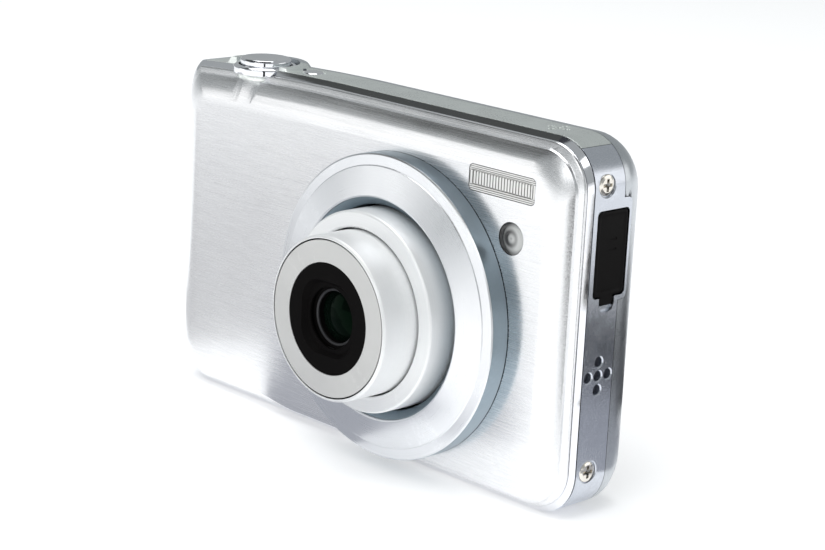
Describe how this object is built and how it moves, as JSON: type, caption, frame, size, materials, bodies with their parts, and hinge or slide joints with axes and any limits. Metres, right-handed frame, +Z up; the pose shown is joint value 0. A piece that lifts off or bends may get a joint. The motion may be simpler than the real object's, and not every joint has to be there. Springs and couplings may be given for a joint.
{
  "type": "compact digital camera",
  "caption": "Compact digital camera with a brushed silver front, a large lens ring and a two-stage retracting zoom lens, push buttons and two hinged doors.",
  "frame": {"origin": "centre of the tripod thread's mouth, on the bottom face", "axes": "-Y is the way the lens looks, +Z is up, +X is to the right when the lens faces the viewer"},
  "size_m": [0.095, 0.0331, 0.0599],
  "materials": {
    "brushed_face": "brushed, bright silver",
    "chrome": "polished",
    "satin_top": "satin silver with a green-grey cast",
    "side_plate": "satin silver with a blue cast",
    "rear_shell": "satin silver",
    "bottom_plate": "satin silver",
    "ring_satin": "satin, turned",
    "ring_slate": "satin slate grey",
    "flash_plastic": "clear moulded plastic with ribs",
    "reflector": "polished",
    "clear_glass": "clear",
    "component_plastic": "dark moulded",
    "lamp_plastic": "clear moulded plastic",
    "led_white": "pale",
    "screen_glass": "gloss black window",
    "circuit_board": "solder mask green",
    "inner_metal": "mill",
    "inner_plastic": "matt black",
    "steel": "plain",
    "battery_wrap": "wrapped cell",
    "brass_contact": "plated",
    "card_plastic": "moulded",
    "tripod_metal": "plated, turned",
    "screw_nickel": "nickel plated",
    "gear_plastic": "natural acetal",
    "barrel_satin": "satin, anodised",
    "face_ring": "satin pale grey",
    "bezel_black": "matt black",
    "coated_glass": "coated, green glint",
    "barrier_metal": "satin black",
    "port_rubber": "soft matt black",
    "button_satin": "satin plated"
  },
  "bodies": {
    "camera_body": {"front_cover": "brushed_face", "chrome_frame": "chrome", "top_cover": "satin_top", "side_cover_right": "side_plate", "side_cover_left": "side_plate", "rear_cover": "rear_shell", "bottom_cover": "bottom_plate", "lens_ring": "ring_satin", "ring_liner": "ring_slate", "flash_window": "flash_plastic", "flash_reflector": "reflector", "flash_tube": "clear_glass", "flash_capacitor": "component_plastic", "focus_lamp_lens": "lamp_plastic", "focus_lamp_led": "led_white", "lcd_window": "screen_glass", "lcd_panel": "component_plastic", "main_board": "circuit_board", "image_sensor": "circuit_board", "lens_base_plate": "inner_metal", "lens_housing": "inner_plastic", "zoom_motor": "steel", "microphone": "steel", "speaker": "component_plastic", "battery": "battery_wrap", "battery_contacts": "brass_contact", "memory_card": "card_plastic", "card_slot": "steel", "usb_connector": "steel", "tripod_bush": "tripod_metal", "strap_bar": "steel", "chassis": "inner_metal", "button_board": "circuit_board", "focus_rods": "steel", "side_screws": "screw_nickel", "bottom_screws": "screw_nickel", "door_pin": "steel"},
    "cam_ring": {"cam_ring": "inner_plastic"},
    "idler_gear": {"idler_gear": "gear_plastic"},
    "motor_pinion": {"motor_pinion": "brass_contact"},
    "outer_barrel": {"outer_barrel": "barrel_satin"},
    "inner_barrel": {"inner_barrel": "barrel_satin", "front_ring": "face_ring", "bezel_disc": "bezel_black", "lens_cell": "bezel_black", "front_lens": "coated_glass"},
    "barrier_upper": {"barrier_upper": "barrier_metal"},
    "barrier_lower": {"barrier_lower": "barrier_metal"},
    "focus_group": {"focus_holder": "inner_plastic", "focus_lens": "coated_glass"},
    "zoom_ring": {"zoom_ring": "chrome"},
    "shutter_button": {"shutter_button": "chrome"},
    "power_button": {"power_button": "chrome"},
    "battery_door": {"battery_door": "bottom_plate"},
    "port_door": {"port_door": "port_rubber"},
    "direction_pad": {"direction_pad": "button_satin"},
    "ok_button": {"ok_button": "button_satin"},
    "menu_button": {"menu_button": "button_satin"},
    "play_button": {"play_button": "button_satin"},
    "delete_button": {"delete_button": "button_satin"}
  },
  "joints": [
    {"name": "cam_ring_turn", "type": "hinge", "parent": "camera_body", "child": "cam_ring", "pos_m": [0.01025, 0, 0.0265], "axis": [0, -1, 0], "range_deg": [-48, 30]},
    {"name": "idler_gear_turn", "type": "hinge", "parent": "camera_body", "child": "idler_gear", "pos_m": [-0.00531, 0, 0.04206], "axis": [0, -1, 0], "range_deg": [-136, 217]},
    {"name": "motor_pinion_turn", "type": "hinge", "parent": "camera_body", "child": "motor_pinion", "pos_m": [-0.00531, 0, 0.04856], "axis": [0, -1, 0], "range_deg": [-347, 217]},
    {"name": "outer_barrel_slide", "type": "slide", "parent": "camera_body", "child": "outer_barrel", "axis": [0, -1, 0], "range_m": [-0.0032, 0.002]},
    {"name": "inner_barrel_slide", "type": "slide", "parent": "outer_barrel", "child": "inner_barrel", "axis": [0, -1, 0], "range_m": [-0.0066, 0.00413]},
    {"name": "focus_slide", "type": "slide", "parent": "camera_body", "child": "focus_group", "axis": [0, -1, 0], "range_m": [-0.0012, 0.0012]},
    {"name": "barrier_upper_slide", "type": "slide", "parent": "inner_barrel", "child": "barrier_upper", "axis": [0, 0, -1], "range_m": [0, 0.00495]},
    {"name": "barrier_lower_slide", "type": "slide", "parent": "inner_barrel", "child": "barrier_lower", "axis": [0, 0, 1], "range_m": [0, 0.00495]},
    {"name": "zoom_ring_turn", "type": "hinge", "parent": "camera_body", "child": "zoom_ring", "pos_m": [-0.0299, -0.0031, 0], "axis": [0, 0, 1], "range_deg": [-15, 15], "stiffness_Nm_per_rad": 0.02},
    {"name": "shutter_press", "type": "slide", "parent": "camera_body", "child": "shutter_button", "axis": [0, 0, -1], "range_m": [0, 0.0006], "stiffness_N_per_m": 500, "springref_m": -0.0003},
    {"name": "power_press", "type": "slide", "parent": "camera_body", "child": "power_button", "axis": [0, 0, -1], "range_m": [0, 0.0004], "stiffness_N_per_m": 500, "springref_m": -0.0003},
    {"name": "battery_door_hinge", "type": "hinge", "parent": "camera_body", "child": "battery_door", "pos_m": [-0.0393, 0, 0.00085], "axis": [0, 1, 0], "range_deg": [0, 90]},
    {"name": "port_door_hinge", "type": "hinge", "parent": "camera_body", "child": "port_door", "pos_m": [0.0475, 0, 0.0485], "axis": [0, -1, 0], "range_deg": [0, 100]},
    {"name": "direction_pad_press", "type": "slide", "parent": "camera_body", "child": "direction_pad", "axis": [0, -1, 0], "range_m": [0, 0.0003], "stiffness_N_per_m": 500, "springref_m": -0.0003},
    {"name": "ok_press", "type": "slide", "parent": "camera_body", "child": "ok_button", "axis": [0, -1, 0], "range_m": [0, 0.0003], "stiffness_N_per_m": 500, "springref_m": -0.0003},
    {"name": "menu_press", "type": "slide", "parent": "camera_body", "child": "menu_button", "axis": [0, -1, 0], "range_m": [0, 0.0003], "stiffness_N_per_m": 500, "springref_m": -0.0003},
    {"name": "play_press", "type": "slide", "parent": "camera_body", "child": "play_button", "axis": [0, -1, 0], "range_m": [0, 0.0003], "stiffness_N_per_m": 500, "springref_m": -0.0003},
    {"name": "delete_press", "type": "slide", "parent": "camera_body", "child": "delete_button", "axis": [0, -1, 0], "range_m": [0, 0.0003], "stiffness_N_per_m": 500, "springref_m": -0.0003}
  ],
  "couplings": [
    {"joint": "cam_ring_turn", "follows": "outer_barrel_slide", "rad_per_m": 261.74},
    {"joint": "inner_barrel_slide", "follows": "outer_barrel_slide", "ratio": 2.062},
    {"joint": "idler_gear_turn", "follows": "outer_barrel_slide", "rad_per_m": -1177.9},
    {"joint": "motor_pinion_turn", "follows": "outer_barrel_slide", "rad_per_m": 1884.6},
    {"joint": "barrier_lower_slide", "follows": "barrier_upper_slide", "ratio": 1}
  ]
}
